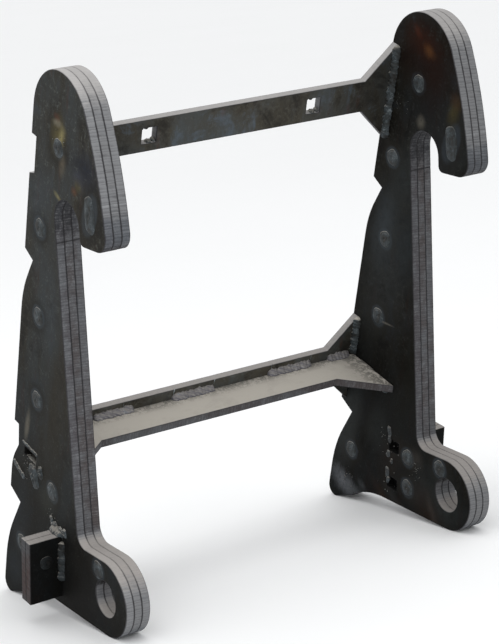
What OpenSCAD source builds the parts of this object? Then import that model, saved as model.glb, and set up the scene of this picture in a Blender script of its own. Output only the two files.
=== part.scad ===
// Weld-on quick coupler frame for a loader attachment.
// Two laminated hook frames are tied by a notched upper bar and a lower
// cross member, with a pair of stop plates outside each frame.
// The frame stands on its two feet and its two lock-pin eyes, as it does on
// the ground before it is welded on.
// Profile drawings use [forward, up] measured from the straight rear edge.

/* [Overall] */
// Width over the two outer hook plates
overall_w = 600; // [500:10:800]
// Thickness of every flame-cut plate
plate_t = 12; // [10:1:16]

/* [Hook plates] */
// Angle between the front edge and the rear welding edge
front_rake = 15; // [13:1:16]
// Distance of the front edge line from the profile corner
front_p = 225.2; // [218:0.2:232]
// Radius of the crown at the top of the plate
crown_r = 68; // [64:1:70]
// Height of the crown centre up the rear edge
crown_h = 738; // [720:2:760]
// Radius of the long outer arc of the hook finger
finger_r = 600; // [500:10:700]
// Direction in which the finger arc leaves the crown
finger_dir = 34; // [31:1:36]
// Width of the hook throat that takes the carrier's cross tube
throat_w = 62; // [56:1:66]
// Height of the throat centre in the raked frame
throat_q = 567; // [560:1:580]
// Level of the finger tip in the raked frame
tip_q = 545.7; // [540:0.1:552]

/* [Lock pin eyes] */
// Bore for the lock pin
pin_d = 50; // [30:1:60]
// Radius of the round eye
eye_r = 53; // [45:1:60]
// Distance of the eye along the bottom edge
eye_p = 292; // [280:1:310]
// Height of the eye above the profile corner
eye_q = 72; // [68:1:80]

/* [Cross members] */
// Depth of the upper bar and of the lower web between the flares
bar_h = 46; // [40:1:60]
// Rise of the flared ends, above and below
flare = 48; // [30:1:52]
// Height of the upper bar's middle
bar_mid = 669; // [660:1:675]
// Height of the lower web's middle
web_mid = 236; // [230:1:240]
// Side of the square holes in the upper bar
hole_w = 22; // [12:1:26]
// Distance between the square holes
hole_pitch = 262; // [160:2:360]
// Depth of the shelf from the rear edge
shelf_d = 64; // [50:1:80]
// Depth of the shelf at its flared ends
shelf_end_d = 114; // [90:1:120]
// Length of the shelf's flared ends
shelf_flare = 66; // [40:1:90]

/* [Stop plates] */
// How far the stop plates stand out of the hook frame
stop_out = 49; // [30:1:60]
// Height of the stop plates
stop_h = 92; // [88:1:94]
// Lean of the stop plates from the rear edge
stop_lean = 8; // [6:1:10]

/* [Welds] */
// Leg of the fillet welds
fillet = 8; // [5:1:10]
// Diameter of the plug weld holes
plug_d = 20; // [14:1:22]
// Height of the plug weld caps over the plate
plug_cap = 1.5; // [1:0.5:3]

/* [Hidden] */
$fn = 96;

// Rear-edge notches for the upper bar and the web's tab
bar_slot_gap = 4;
web_tab_h = 30;
web_slot_low = 206;
bar_slot_lip = 641;

// V-shaped weld grooves: heights of the upper corner, deepest point and lower corner
groove_top = [532, 524, 471];
groove_low = [160, 150, 77];
groove_depth = [21.7, 29];

// Rounded foot under the rear edge, and the sloping heel behind it
foot_r = 15;
foot_up = 6;
heel_dir = 33;
heel_flat = 45;
heel_inset = 0.2;
heel_step = 4;
sole_rise = 3;

tip_r_out = 22;
tip_r_in = 9;
crotch_r = 20;

// Thickness of the beads on the outer faces
tab_bead = 2.5;

// Plug welds as [forward, up]; the finger has a long one
plug_spots = [[68, 705], [36, 578], [46, 453], [56, 331], [41, 90], [240, 176]];
outer_plugs = [[111, 218]];
inner_plugs = [[169, 152], [179, 105]];
finger_plug = [153, 652];
finger_plug_len = 24;

// Slots for the shelf tab and the stop plate tabs
shelf_mid = 238;
shelf_tab = [32, 64];
stop_corner = [145.3, 168.7];
stop_tab_h = 18;
stop_tab_edge = 7;

// Welds along the shelf: [middle, length]
stitches = [[-236, 40], [-150, 66], [-19, 72], [148, 77], [236, 40]];

stack = 3 * plate_t;
half_w = overall_w / 2;
inner_x = half_w - stack;

// A point of the raked frame, seen in the rear-edge frame
function raked(p, q) = [p * cos(front_rake) - q * sin(front_rake),
                        p * sin(front_rake) + q * cos(front_rake)];
// A rear-edge point, seen in the raked frame
function unraked(v) = [v.x * cos(front_rake) + v.y * sin(front_rake),
                       v.y * cos(front_rake) - v.x * sin(front_rake)];
function aim(a) = [cos(a), sin(a)];

crown = [crown_r, crown_h];
eye = raked(eye_p, eye_q);
foot = [foot_r, foot_up];
finger_c = crown - (finger_r - crown_r) * aim(finger_dir);
throat = raked(front_p + throat_w / 2, throat_q);

// The frame leans forward until foot and eye touch the floor together
span = eye - foot;
lean = atan2(span.y, span.x) - asin((eye_r - foot_r) / norm(span));
function floor_y(v) = -(v.x * cos(lean) + v.y * sin(lean));
function floor_z(v) = v.y * cos(lean) - v.x * sin(lean);
lift = foot_r - floor_z(foot);
front_y = floor_y(finger_c) - finger_r;
rear_y = floor_y(foot) + foot_r;
shift_y = -(front_y + rear_y) / 2;

// Rear-edge frame to standing frame
module stand() {
    translate([0, shift_y, lift]) rotate([lean, 0, 0]) children();
}

// Turns a solid drawn [forward, up, thickness t] to stand from x0 to x0 + t
module across(x0, t) {
    translate([x0 + t, 0, 0]) rotate([90, 0, -90]) children();
}

// Extrudes a [forward, up] drawing from x0 to x0 + t
module slab(x0, t) {
    across(x0, t) linear_extrude(t) children();
}

// Extrudes an [across, up] drawing from depth d0 to d0 + t
module panel(d0, t) {
    translate([0, -d0, 0]) rotate([90, 0, 0]) linear_extrude(t) children();
}

module other_side() {
    mirror([1, 0, 0]) children();
}

// ---- Hook plate outline ----

module shank() {
    polygon([[0, foot_up], [0, crown_h], crown, raked(front_p, throat_q + 20),
             raked(front_p, eye_q), foot]);
}

// Heel line points: along the line, and in from it
function heel(along, inset) = foot + (foot_r - inset) * aim(heel_dir - 90) + along * aim(heel_dir);

module foot_arm() {
    start_q = unraked(heel(0, heel_step)).y;
    heel_end = (eye_q - eye_r + sole_rise - start_q) / sin(heel_dir - front_rake);
    polygon([foot, heel(0, heel_inset), heel(heel_flat, heel_inset), heel(heel_flat + 3, heel_step),
             heel(heel_end, heel_step), raked(eye_p, eye_q - eye_r),
             raked(eye_p, eye_q + eye_r), raked(front_p, eye_q + eye_r)]);
    translate(foot) circle(r = foot_r);
    translate(eye) circle(r = eye_r);
    translate(raked(front_p, eye_q + eye_r)) rotate(front_rake) difference() {
        translate([-1, -1]) square(crotch_r + 1);
        translate([crotch_r, crotch_r]) circle(r = crotch_r);
    }
}

module finger() {
    big = unraked(finger_c);
    inner_p = front_p + throat_w;
    tip_out_q = tip_q + tip_r_out;
    tip_out_p = big.x + sqrt(pow(finger_r - tip_r_out, 2) - pow(tip_out_q - big.y, 2));
    tip_dir = atan2(tip_out_q - big.y, tip_out_p - big.x) + front_rake;
    reach = finger_r * 1.03;
    intersection() {
        translate(finger_c) circle(r = finger_r, $fn = 360);
        polygon([crown / 2 + [0, crown_h / 2], finger_c + reach * aim(finger_dir),
                 finger_c + reach * aim(tip_dir),
                 raked(tip_out_p, tip_out_q), raked(tip_out_p, tip_q),
                 raked(inner_p + tip_r_in, tip_q), raked(inner_p + tip_r_in, tip_q + tip_r_in),
                 raked(inner_p, tip_q + tip_r_in), raked(inner_p, throat_q),
                 raked(front_p - 20, throat_q)]);
    }
    translate(raked(tip_out_p, tip_out_q)) circle(r = tip_r_out);
    translate(raked(inner_p + tip_r_in, tip_q + tip_r_in)) circle(r = tip_r_in);
    translate(crown) circle(r = crown_r);
}

module rear_notches() {
    bar_top = bar_mid + bar_h / 2 + bar_slot_gap;
    bar_low = bar_mid - bar_h / 2;
    polygon([[-1, bar_top], [plate_t, bar_top], [plate_t, bar_low], [0, bar_slot_lip], [-1, bar_slot_lip]]);
    polygon([[-1, groove_top[0]], [0, groove_top[0]], [groove_depth[0], groove_top[1]],
             [0, groove_top[2]], [-1, groove_top[2]]]);
    web_top = web_mid + web_tab_h + 1;
    web_low = web_mid;
    polygon([[-1, web_top], [plate_t, web_top], [plate_t + 3, web_low], [0, web_slot_low], [-1, web_slot_low]]);
    polygon([[-1, groove_low[0]], [0, groove_low[0]], [groove_depth[1], groove_low[1]],
             [0, groove_low[2]], [-1, groove_low[2]]]);
}

// Tab slots, in the frame of the stop plates: [back, down] from their top front corner
module stop_slots(down) {
    translate(stop_corner) rotate(stop_lean) translate([-2 * plate_t, -down - stop_tab_h])
        square([2 * plate_t, stop_tab_h]);
}

module tab_slots() {
    translate([shelf_tab[0], shelf_mid - plate_t / 2]) square([shelf_tab[1] - shelf_tab[0], plate_t]);
    stop_slots(stop_tab_edge);
    stop_slots(stop_h - stop_tab_edge - stop_tab_h);
}

// Plug weld shapes: round ones at the common spots and at extra ones, and the finger's long one
module plugs(d, extra) {
    for (spot = concat(plug_spots, extra)) translate(spot) circle(d = d);
    long_plug(d);
}

// Round-ended shape of the finger's plug weld
module long_plug(d) {
    translate(finger_plug) rotate(front_rake) {
        for (end = [-0.5, 0.5]) translate([0, end * finger_plug_len]) circle(d = d);
        translate([-d / 2, -finger_plug_len / 2]) square([d, finger_plug_len]);
    }
}

module cut_outs() {
    translate(throat) circle(d = throat_w);
    translate(eye) circle(d = pin_d);
    rear_notches();
    tab_slots();
}

// A through cut in a plate lying flat
module through() {
    translate([0, 0, -1]) linear_extrude(plate_t + 2) children();
}

// One hook plate lying flat, [forward, up] in its plane
module hook_plate() {
    difference() {
        union() {
            linear_extrude(plate_t) shank();
            linear_extrude(plate_t) foot_arm();
            linear_extrude(plate_t) finger();
        }
        through() cut_outs();
    }
}

module solid_plate(x0) {
    color([0.24, 0.23, 0.22]) stand() across(x0, plate_t) hook_plate();
}

module plugged_plate(x0, extra) {
    color([0.24, 0.23, 0.22]) stand() across(x0, plate_t) difference() {
        hook_plate();
        through() plugs(plug_d, extra);
    }
}

module right_inner_plate() { plugged_plate(inner_x, inner_plugs); }
module right_middle_plate() { solid_plate(inner_x + plate_t); }
module right_outer_plate() { plugged_plate(inner_x + 2 * plate_t, outer_plugs); }
module left_inner_plate() { other_side() right_inner_plate(); }
module left_middle_plate() { other_side() right_middle_plate(); }
module left_outer_plate() { other_side() right_outer_plate(); }

// ---- Cross members ----

// Completes a half outline with its mirror image
function whole(half) = concat(half, [for (i = [len(half) - 1:-1:0]) [-half[i].x, half[i].y]]);

// Bar outline with 45 degree flares and end tabs, [across, up] from its middle
module flared_bar(tab_top, tab_low) {
    tab_x = inner_x + 2 * plate_t;
    reach = bar_h / 2 + flare;
    polygon(whole([[inner_x - flare, -bar_h / 2], [inner_x, -reach], [inner_x, tab_low],
                   [tab_x, tab_low], [tab_x, tab_top], [inner_x, tab_top], [inner_x, reach],
                   [inner_x - flare, bar_h / 2]]));
}

module upper_cross_bar() {
    color([0.3, 0.3, 0.31]) stand() panel(0, plate_t) translate([0, bar_mid]) difference() {
        flared_bar(bar_h / 2, -bar_h / 2);
        for (side = [-1, 1]) translate([side * hole_pitch / 2, 0]) square(hole_w, center = true);
    }
}

module lower_cross_web() {
    color([0.3, 0.28, 0.26]) stand() panel(0, plate_t) translate([0, web_mid])
        flared_bar(web_tab_h, 0);
}

// Shelf outline, [across, forward]
module shelf_outline() {
    tab_x = inner_x + 2 * plate_t;
    polygon(whole([[inner_x, plate_t], [inner_x, shelf_tab[0]], [tab_x, shelf_tab[0]],
                   [tab_x, shelf_tab[1]], [inner_x, shelf_tab[1]], [inner_x, shelf_end_d],
                   [inner_x - shelf_flare, shelf_d]]));
}

module lower_cross_shelf() {
    color([0.42, 0.39, 0.35]) stand() translate([0, 0, shelf_mid + plate_t / 2]) rotate([180, 0, 0])
        linear_extrude(plate_t) shelf_outline();
}

// ---- Stop plates ----

// Places [across, up] drawings in the leaning stop plane; d0 is the depth behind its front face
module stop_plane(d0) {
    translate([0, -stop_corner.x, stop_corner.y]) rotate([-stop_lean, 0, 0])
        translate([0, d0 + plate_t, 0]) rotate([90, 0, 0]) linear_extrude(plate_t) children();
}

module stop_outline() {
    translate([half_w, -stop_h]) square([stop_out, stop_h]);
    for (down = [stop_tab_edge, stop_h - stop_tab_edge - stop_tab_h])
        translate([half_w - 2 * plate_t, -down - stop_tab_h]) square([2 * plate_t + 1, stop_tab_h]);
}

module stop_plate(d0) {
    color([0.3, 0.27, 0.26]) stand() stop_plane(d0) stop_outline();
}

module right_stop_front_plate() { stop_plate(0); }
module right_stop_back_plate() { stop_plate(plate_t); }
module left_stop_front_plate() { other_side() right_stop_front_plate(); }
module left_stop_back_plate() { other_side() right_stop_back_plate(); }

// ---- Welds ----

// Plug welds fill the holes of one plate and stand proud of one face
module plug_welds(x0, cap_x, extra) {
    color([0.45, 0.48, 0.5]) stand() {
        slab(x0, plate_t) plugs(plug_d, extra);
        slab(cap_x, plug_cap) plugs(plug_d + 5, extra);
    }
}

module right_inner_plug_welds() { plug_welds(inner_x, inner_x - plug_cap, inner_plugs); }
module right_outer_plug_welds() { plug_welds(half_w - plate_t, half_w, outer_plugs); }
module left_inner_plug_welds() { other_side() right_inner_plug_welds(); }
module left_outer_plug_welds() { other_side() right_outer_plug_welds(); }

// Rounded fillet section in the corner at the origin, legs along -x and +y
module bead_section(leg) {
    intersection() {
        translate([-leg, 0]) square(leg);
        circle(r = leg);
    }
}

// Fillet in the corner between a cross member's front face and an inner plate
module upright_weld(low, high, depth) {
    color([0.55, 0.58, 0.6]) stand() translate([inner_x, -depth, low])
        linear_extrude(high - low) rotate(90) bead_section(fillet);
}

flare_reach = bar_h / 2 + flare;
module right_bar_weld() { upright_weld(bar_mid - flare_reach, bar_mid + flare_reach, plate_t); }
module left_bar_weld() { other_side() right_bar_weld(); }
module right_web_weld() { upright_weld(shelf_mid + plate_t / 2, web_mid + flare_reach, plate_t); }
module left_web_weld() { other_side() right_web_weld(); }

// Fillet under the shelf's end, against the inner plate
module right_shelf_weld() {
    color([0.4, 0.38, 0.35]) stand() translate([inner_x, -plate_t - fillet, shelf_mid - plate_t / 2])
        rotate([90, 0, 0]) linear_extrude(shelf_end_d - plate_t - 2 * fillet) rotate(90) bead_section(fillet);
}
module left_shelf_weld() { other_side() right_shelf_weld(); }

// Short fillets between the web's face and the shelf's top
module shelf_stitch_welds() {
    color([0.5, 0.48, 0.44]) stand() for (s = stitches)
        translate([s[0] - s[1] / 2, -plate_t, shelf_mid + plate_t / 2]) rotate([90, 0, 90])
            linear_extrude(s[1]) bead_section(fillet);
}

// Upright bead on the front of the stop plates and a short one across their top
module right_stop_weld() {
    color([0.6, 0.62, 0.64]) stand() translate([half_w, -stop_corner.x, stop_corner.y])
        rotate([-stop_lean, 0, 0]) {
            translate([0, 0, -stop_h + 16]) linear_extrude(stop_h - 22) rotate(180) bead_section(fillet);
            translate([0, 2 * plate_t, 0]) rotate([90, 0, 0]) linear_extrude(2 * plate_t)
                mirror([1, 0]) bead_section(fillet);
        }
}
module left_stop_weld() { other_side() right_stop_weld(); }

// Flat bead on a plate's outer face from point a to point b
module face_bead(a, b, wide) {
    run = b - a;
    translate(a) rotate(atan2(run.y, run.x)) {
        circle(d = wide);
        translate([0, -wide / 2]) square([norm(run), wide]);
        translate([norm(run), 0]) circle(d = wide);
    }
}

// Beads round the ends of the shelf tab and the web tab, on the outer face
module right_tab_welds() {
    slot_top = shelf_mid + plate_t / 2;
    color([0.5, 0.52, 0.5]) stand() slab(half_w, tab_bead) {
        face_bead([shelf_tab[0] - 4, slot_top + 5], [shelf_tab[1] + 2, slot_top + 5], 7);
        face_bead([shelf_tab[0] + 20, slot_top - 24], [shelf_tab[1] + 8, slot_top - 36], 14);
        face_bead([6, web_slot_low - 2], [37, web_slot_low - 11], 9);
    }
}
module left_tab_welds() { other_side() right_tab_welds(); }

left_outer_plate();
left_middle_plate();
left_inner_plate();
right_inner_plate();
right_middle_plate();
right_outer_plate();
upper_cross_bar();
lower_cross_web();
lower_cross_shelf();
left_stop_front_plate();
left_stop_back_plate();
right_stop_front_plate();
right_stop_back_plate();
left_outer_plug_welds();
left_inner_plug_welds();
right_inner_plug_welds();
right_outer_plug_welds();
left_bar_weld();
right_bar_weld();
left_web_weld();
right_web_weld();
left_shelf_weld();
right_shelf_weld();
shelf_stitch_welds();
left_stop_weld();
right_stop_weld();
left_tab_welds();
right_tab_welds();
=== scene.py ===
"""Looks for a weld-on quick coupler frame: flame-cut plates, weld beads, mill scale and dust.

Every plate is worked out again from its CAD node's own outline, so that its cut edges get drag
lines and melted corners. Welds are rippled beads and domed plugs. Lengths are metres, but places
on the drawing of a frame's side are millimetres: [across, forward, up] from its rear edge.
"""
from functools import reduce
import bmesh
import bpy
import numpy as np
from mathutils import Matrix, Vector
from mathutils.geometry import tessellate_polygon


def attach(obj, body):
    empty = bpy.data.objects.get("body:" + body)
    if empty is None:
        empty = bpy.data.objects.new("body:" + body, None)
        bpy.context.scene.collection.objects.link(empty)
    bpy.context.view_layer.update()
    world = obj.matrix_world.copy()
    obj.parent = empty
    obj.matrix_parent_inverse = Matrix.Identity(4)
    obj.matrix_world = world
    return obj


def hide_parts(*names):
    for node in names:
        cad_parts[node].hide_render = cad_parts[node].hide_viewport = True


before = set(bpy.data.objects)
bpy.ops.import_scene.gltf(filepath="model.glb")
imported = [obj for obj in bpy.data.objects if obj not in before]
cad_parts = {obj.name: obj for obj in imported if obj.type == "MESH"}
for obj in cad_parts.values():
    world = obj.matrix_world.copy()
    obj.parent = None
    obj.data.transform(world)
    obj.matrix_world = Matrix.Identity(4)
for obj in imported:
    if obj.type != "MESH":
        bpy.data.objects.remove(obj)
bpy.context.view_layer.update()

MM = 0.001
TAU = 2 * np.pi

# How far the drawing leans, where it stands, and the way of its axes
LEAN = np.radians(21.5806)
SHIFT_Y, LIFT_Z = 0.208141, 0.014938
RAKE = np.radians(15)
REAR = np.array([0, np.cos(LEAN), np.sin(LEAN)])
RISE = np.array([0, -np.sin(LEAN), np.cos(LEAN)])
ACROSS = np.array([1.0, 0, 0])

# Measures in millimetres
PLATE = 12  # thickness of every plate
INNER_X, OUTER_X = 264, 300  # the inner and outer faces of both hook frames
CAP_RADIUS = 12.5  # of a plug weld's cap
DRAG_LINES = 4.2  # distance from one drag line of the torch to the next
TORCH_STOP = 576.5  # height of a dark line where the torch stopped on the front edges


def drawn(x, f, h):
    """Where the drawing's [across, forward, up] point in millimetres stands, in metres."""
    return np.array([x * MM, SHIFT_Y, LIFT_Z]) - f * MM * REAR + h * MM * RISE


# ---- Camera ----

def make_camera():
    """A long lens, rolled a little; its three axes and its place are the matrix's columns."""
    data = bpy.data.cameras.new("camera")
    data.lens, data.sensor_width = 122.63, 36
    data.shift_x, data.shift_y = 0.0109, -0.0246
    data.clip_start, data.clip_end = 0.1, 200
    camera = bpy.data.objects.new("camera", data)
    right = (0.832303, -0.543968, -0.106632)
    up = (0.194501, 0.10645, 0.975109)
    back = (-0.519077, -0.832326, 0.194401)
    place = (-1.555977, -2.516322, 0.958158)
    rows = np.array([right, up, back, place]).T
    camera.matrix_world = Matrix([list(r) for r in rows] + [[0, 0, 0, 1]])
    bpy.context.scene.collection.objects.link(camera)
    bpy.context.scene.camera = camera


make_camera()


# ---- Shader writing ----

class Value:
    """A number that changes over a surface. Arithmetic on it adds Math nodes to its finish."""

    def __init__(self, finish, socket):
        self.finish, self.socket = finish, socket

    def math(self, operation, *others):
        return self.finish.math(operation, self, *others)

    def __add__(self, o): return self.math("ADD", o)
    def __radd__(self, o): return self.math("ADD", o)
    def __sub__(self, o): return self.math("SUBTRACT", o)
    def __rsub__(self, o): return self.finish.math("SUBTRACT", o, self)
    def __mul__(self, o): return self.math("MULTIPLY", o)
    def __rmul__(self, o): return self.math("MULTIPLY", o)
    def low(self, o): return self.math("MINIMUM", o)
    def high(self, o): return self.math("MAXIMUM", o)
    def wave(self): return self.math("SINE")
    def size(self): return self.math("ABSOLUTE")

    def step(self, a, b):
        """0 at a and 1 at b, with a smooth change between; a may be the larger."""
        flip = a > b
        node = self.finish.add("ShaderNodeMapRange", {"interpolation_type": "SMOOTHSTEP"},
                               {"Value": self, "From Min": min(a, b), "From Max": max(a, b),
                                "To Min": float(flip), "To Max": float(not flip)})
        return Value(self.finish, node.outputs["Result"])


class Finish:
    """One material. Its methods add nodes and hand back Values or colour sockets.

    plan is the surface's place turned to the drawing's axes; across, back and up are its parts in
    millimetres.
    """

    def __init__(self, name):
        self.material = bpy.data.materials.new(name)
        self.material.use_nodes = True
        self.tree = self.material.node_tree
        self.tree.nodes.clear()
        self.place = self.add("ShaderNodeTexCoord").outputs["Object"]
        turned = {"Location": (0, SHIFT_Y, LIFT_Z), "Rotation": (LEAN, 0, 0), "Vector": self.place}
        self.plan = self.add("ShaderNodeMapping", {"vector_type": "TEXTURE"}, turned).outputs[0]
        self.across, self.back, self.up = (v * 1000 for v in self.split(self.plan))

    def add(self, kind, settings=None, sockets=None):
        """A node of that type, its settings first, then the value or link of each socket."""
        node = self.tree.nodes.new(kind)
        for key, value in (settings or {}).items():
            setattr(node, key, value)
        for key, value in (sockets or {}).items():
            target = node.inputs[key]
            if isinstance(value, Value):
                value = value.socket
            if isinstance(value, bpy.types.NodeSocket):
                self.tree.links.new(value, target)
            elif hasattr(value, "__len__") and len(value) == 3 and target.type == "RGBA":
                target.default_value = (*value, 1)
            else:
                target.default_value = value
        return node

    def math(self, operation, *values):
        node = self.add("ShaderNodeMath", {"operation": operation}, dict(enumerate(values)))
        return Value(self, node.outputs[0])

    def split(self, vector):
        node = self.add("ShaderNodeSeparateXYZ", None, {0: vector})
        return [Value(self, s) for s in node.outputs]

    def join(self, x, y, z):
        return self.add("ShaderNodeCombineXYZ", None, {0: x, 1: y, 2: z}).outputs[0]

    def noise(self, scale, detail=4, rough=0.6, twist=0, at=None, stretch=None, shift=0):
        """Noise from 0 to 1, scale times a metre; stretch scales it along the drawing's axes."""
        at = at or self.plan
        if stretch or shift:
            moved = {"Scale": stretch or (1, 1, 1), "Location": (shift, shift, shift), "Vector": at}
            at = self.add("ShaderNodeMapping", None, moved).outputs[0]
        node = self.add("ShaderNodeTexNoise", None,
                        {"Vector": at, "Scale": scale, "Detail": detail, "Roughness": rough,
                         "Distortion": twist})
        return Value(self, node.outputs[0])

    def cells(self, scale, at=None):
        """Distance to the nearest of scattered points, and a random value for each."""
        node = self.add("ShaderNodeTexVoronoi", None, {"Vector": at or self.plan, "Scale": scale})
        return Value(self, node.outputs["Distance"]), self.split(node.outputs["Color"])[0]

    def mix(self, amount, a, b, blend="MIX"):
        node = self.add("ShaderNodeMix", {"data_type": "RGBA", "blend_type": blend},
                        {0: amount, 6: a, 7: b})
        return node.outputs[2]

    def gap(self, f, h, wide, tall, lean=0.0):
        """How far a point is from the drawing's (f, h), in units of an ellipse wide by tall."""
        moved = self.add("ShaderNodeMapping", {"vector_type": "TEXTURE"},
                         {"Location": (0, -f * MM, h * MM), "Rotation": (lean, 0, 0),
                          "Scale": (1e3, wide * MM, tall * MM), "Vector": self.plan})
        node = self.add("ShaderNodeVectorMath", {"operation": "LENGTH"}, {0: moved.outputs[0]})
        return Value(self, node.outputs["Value"])

    def upward(self):
        """1 where the surface looks straight up, 0 where it is upright, below 0 underneath."""
        return self.split(self.add("ShaderNodeNewGeometry").outputs["Normal"])[2]

    def cut(self):
        """How far along a plate's outline, and how deep in its thickness, in millimetres."""
        found = self.add("ShaderNodeUVMap", {"uv_map": "Cut"}).outputs[0]
        along, deep, _ = self.split(found)
        return along * 1000, deep * 1000

    def bump(self, height, distance, strength):
        sockets = {"Height": height, "Distance": distance, "Strength": strength}
        return self.add("ShaderNodeBump", None, sockets).outputs[0]

    def darkened(self, color, shade, amount=1.0):
        """The colour multiplied by a shade, a number or a Value, as far as amount says."""
        tone = self.join(shade, shade, shade) if isinstance(shade, Value) else (shade,) * 3
        return self.mix(amount, color, tone, "MULTIPLY")

    def done(self, color, rough, normal, metallic, specular):
        """Ends the material with one shader and hands it back."""
        shader = self.add("ShaderNodeBsdfPrincipled", None,
                          {"Base Color": color, "Roughness": rough, "Normal": normal,
                           "Metallic": metallic, "Specular IOR Level": specular})
        out = self.add("ShaderNodeOutputMaterial")
        self.tree.links.new(shader.outputs[0], out.inputs[0])
        return self.material


# ---- Finishes ----

DUST = (0.37, 0.345, 0.305)
DUST_GREY = (0.41, 0.395, 0.385)
DUST_LOW = (0.33, 0.305, 0.285)
# Near black: soot, and painted shade in the tab slots, the eye's bore and along the shelf
SOOT_AND_SHADE = (0.005, 0.0048, 0.0045)
SCALE_GREY = (0.034, 0.037, 0.037)
SCALE_OLIVE = (0.031, 0.028, 0.022)
SCALE_BLACK = (0.008, 0.0075, 0.007)
SCALE_BLUE = (0.044, 0.053, 0.062)
RUST = (0.04, 0.02, 0.012)
RUST_YELLOW = (0.1, 0.082, 0.034)
PALE_SCALE = (0.13, 0.14, 0.13)
CUT_BROWN = (0.07, 0.06, 0.06)
CUT_BLUE = (0.02, 0.021, 0.025)
CUT_GREY = (0.105, 0.108, 0.116)
CUT_PURPLE = (0.07, 0.064, 0.07)
CUT_DARK = (0.02, 0.019, 0.021)
CUT_LIGHT = (0.235, 0.238, 0.245)
WELD_BLUE = (0.042, 0.052, 0.057)
WELD_BRIGHT = (0.17, 0.19, 0.2)
WELD_BROWN = (0.018, 0.017, 0.015)
HEAT_RING = (0.014, 0.013, 0.011)

# The tab slots, painted dark inside as shade: forward, up, half width and half height of each
SLOTS = [(133, 150, 16, 14), (146, 88, 16, 14), (48, 238, 30, 12)]


def plate_face(name, seed, marks=(), plugs=(), blue=0.5, shade=1.0, low_shade=1.0, painted_reflection=None,
               grain=0.35, sheen=0.06):
    """Mill scale: mottled dark grey with oily brown, heat tint round the plug welds, and marks.

    A mark is (forward, up, wide, tall, lean, colour, amount), an ellipse with a ragged edge. A plug
    is (forward, up, length). low_shade darkens the foot of a plate; painted_reflection paints a
    reflection across the face, bright in the middle and darker towards both ends.
    """
    w = Finish(name)
    broad = w.noise(7, 5, 0.62, 0.4, stretch=(1, 1.3, 0.7), shift=seed)
    patch = w.noise(19, 6, 0.7, 0.8, shift=seed + 3)
    streak = w.noise(34, 5, 0.72, 0.3, stretch=(1, 1.7, 0.3), shift=seed + 7)
    grit = w.noise(95, 5, 0.75, 0.5, shift=seed + 11)
    fine = w.noise(300, 4, 0.78, shift=seed)
    speck, chance = w.cells(330)
    color = w.mix((broad * 1.1 + streak * 0.5 - 0.3).step(0.35, 0.65), SCALE_OLIVE, SCALE_GREY)
    color = w.mix((patch + broad * 0.6 + grit * 0.3).step(0.98, 0.72) * 0.75, color, SCALE_BLACK)
    color = w.mix((patch + streak * 0.6).step(0.82, 0.98) * blue, color, SCALE_BLUE)
    color = w.mix(streak.step(0.55, 0.66) * 0.4, color, RUST)
    color = w.mix((grit * 0.6 + fine * 0.5).step(0.56, 0.72) * grain, color, PALE_SCALE)
    level = (w.up.step(0, 620) * (1 - low_shade) + low_shade) * shade
    # Painted reflection: brighter across the middle of the face, darker towards its ends
    if painted_reflection:
        level = level * (w.across.size().step(*painted_reflection) * 0.45 + 0.55)
    color = w.darkened(color, level)
    ragged = (grit - 0.5) * 2.6 + (fine - 0.5) * 1.2 + (streak - 0.5) * 1.2
    gaps = [w.gap(f, h, CAP_RADIUS, CAP_RADIUS + long, RAKE if long else 0) for f, h, long in plugs]
    if gaps:
        near = reduce(Value.low, gaps) + ragged * 0.2
        color = w.mix(near.step(2.6, 1.3) * 0.65, color, HEAT_RING)
        color = w.mix(near.step(1.5, 1.1) * 0.5, color, SCALE_BLUE)
    for f, h, wide, tall, lean, tint, amount in marks:
        near = w.gap(f, h, wide, tall, lean) + ragged * 0.6
        share = near.step(1.5, 0.1) * (grit.step(0.3, 0.62) * 0.6 + 0.4) * amount
        color = w.mix(share, color, tint)
    flecks = speck.step(0.2, 0.08) * chance.step(0.84, 0.9)
    color = w.mix(flecks * 0.3, color, PALE_SCALE)
    bare = w.across.size().step(215, INNER_X - 2) * grit.step(0.44, 0.56) * 0.75
    swept = w.back.step(-36, -14) * (grit * 0.6 + fine * 0.4).step(0.46, 0.54) * 0.6
    bare = bare.high(swept)
    settled = w.upward().step(0.25, 0.8) * (0.6 + patch * 0.5 + grit * 0.3)
    color = w.mix((settled * (1 - bare)).low(1), color, DUST)
    rough = 0.45 + patch * 0.3 + grit * 0.15
    height = broad * 0.4 + patch * 0.35 + grit * 0.15 + fine * 0.06
    return w.done(color, rough, w.bump(height, 0.0014, 0.8), 0.12, sheen)


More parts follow.
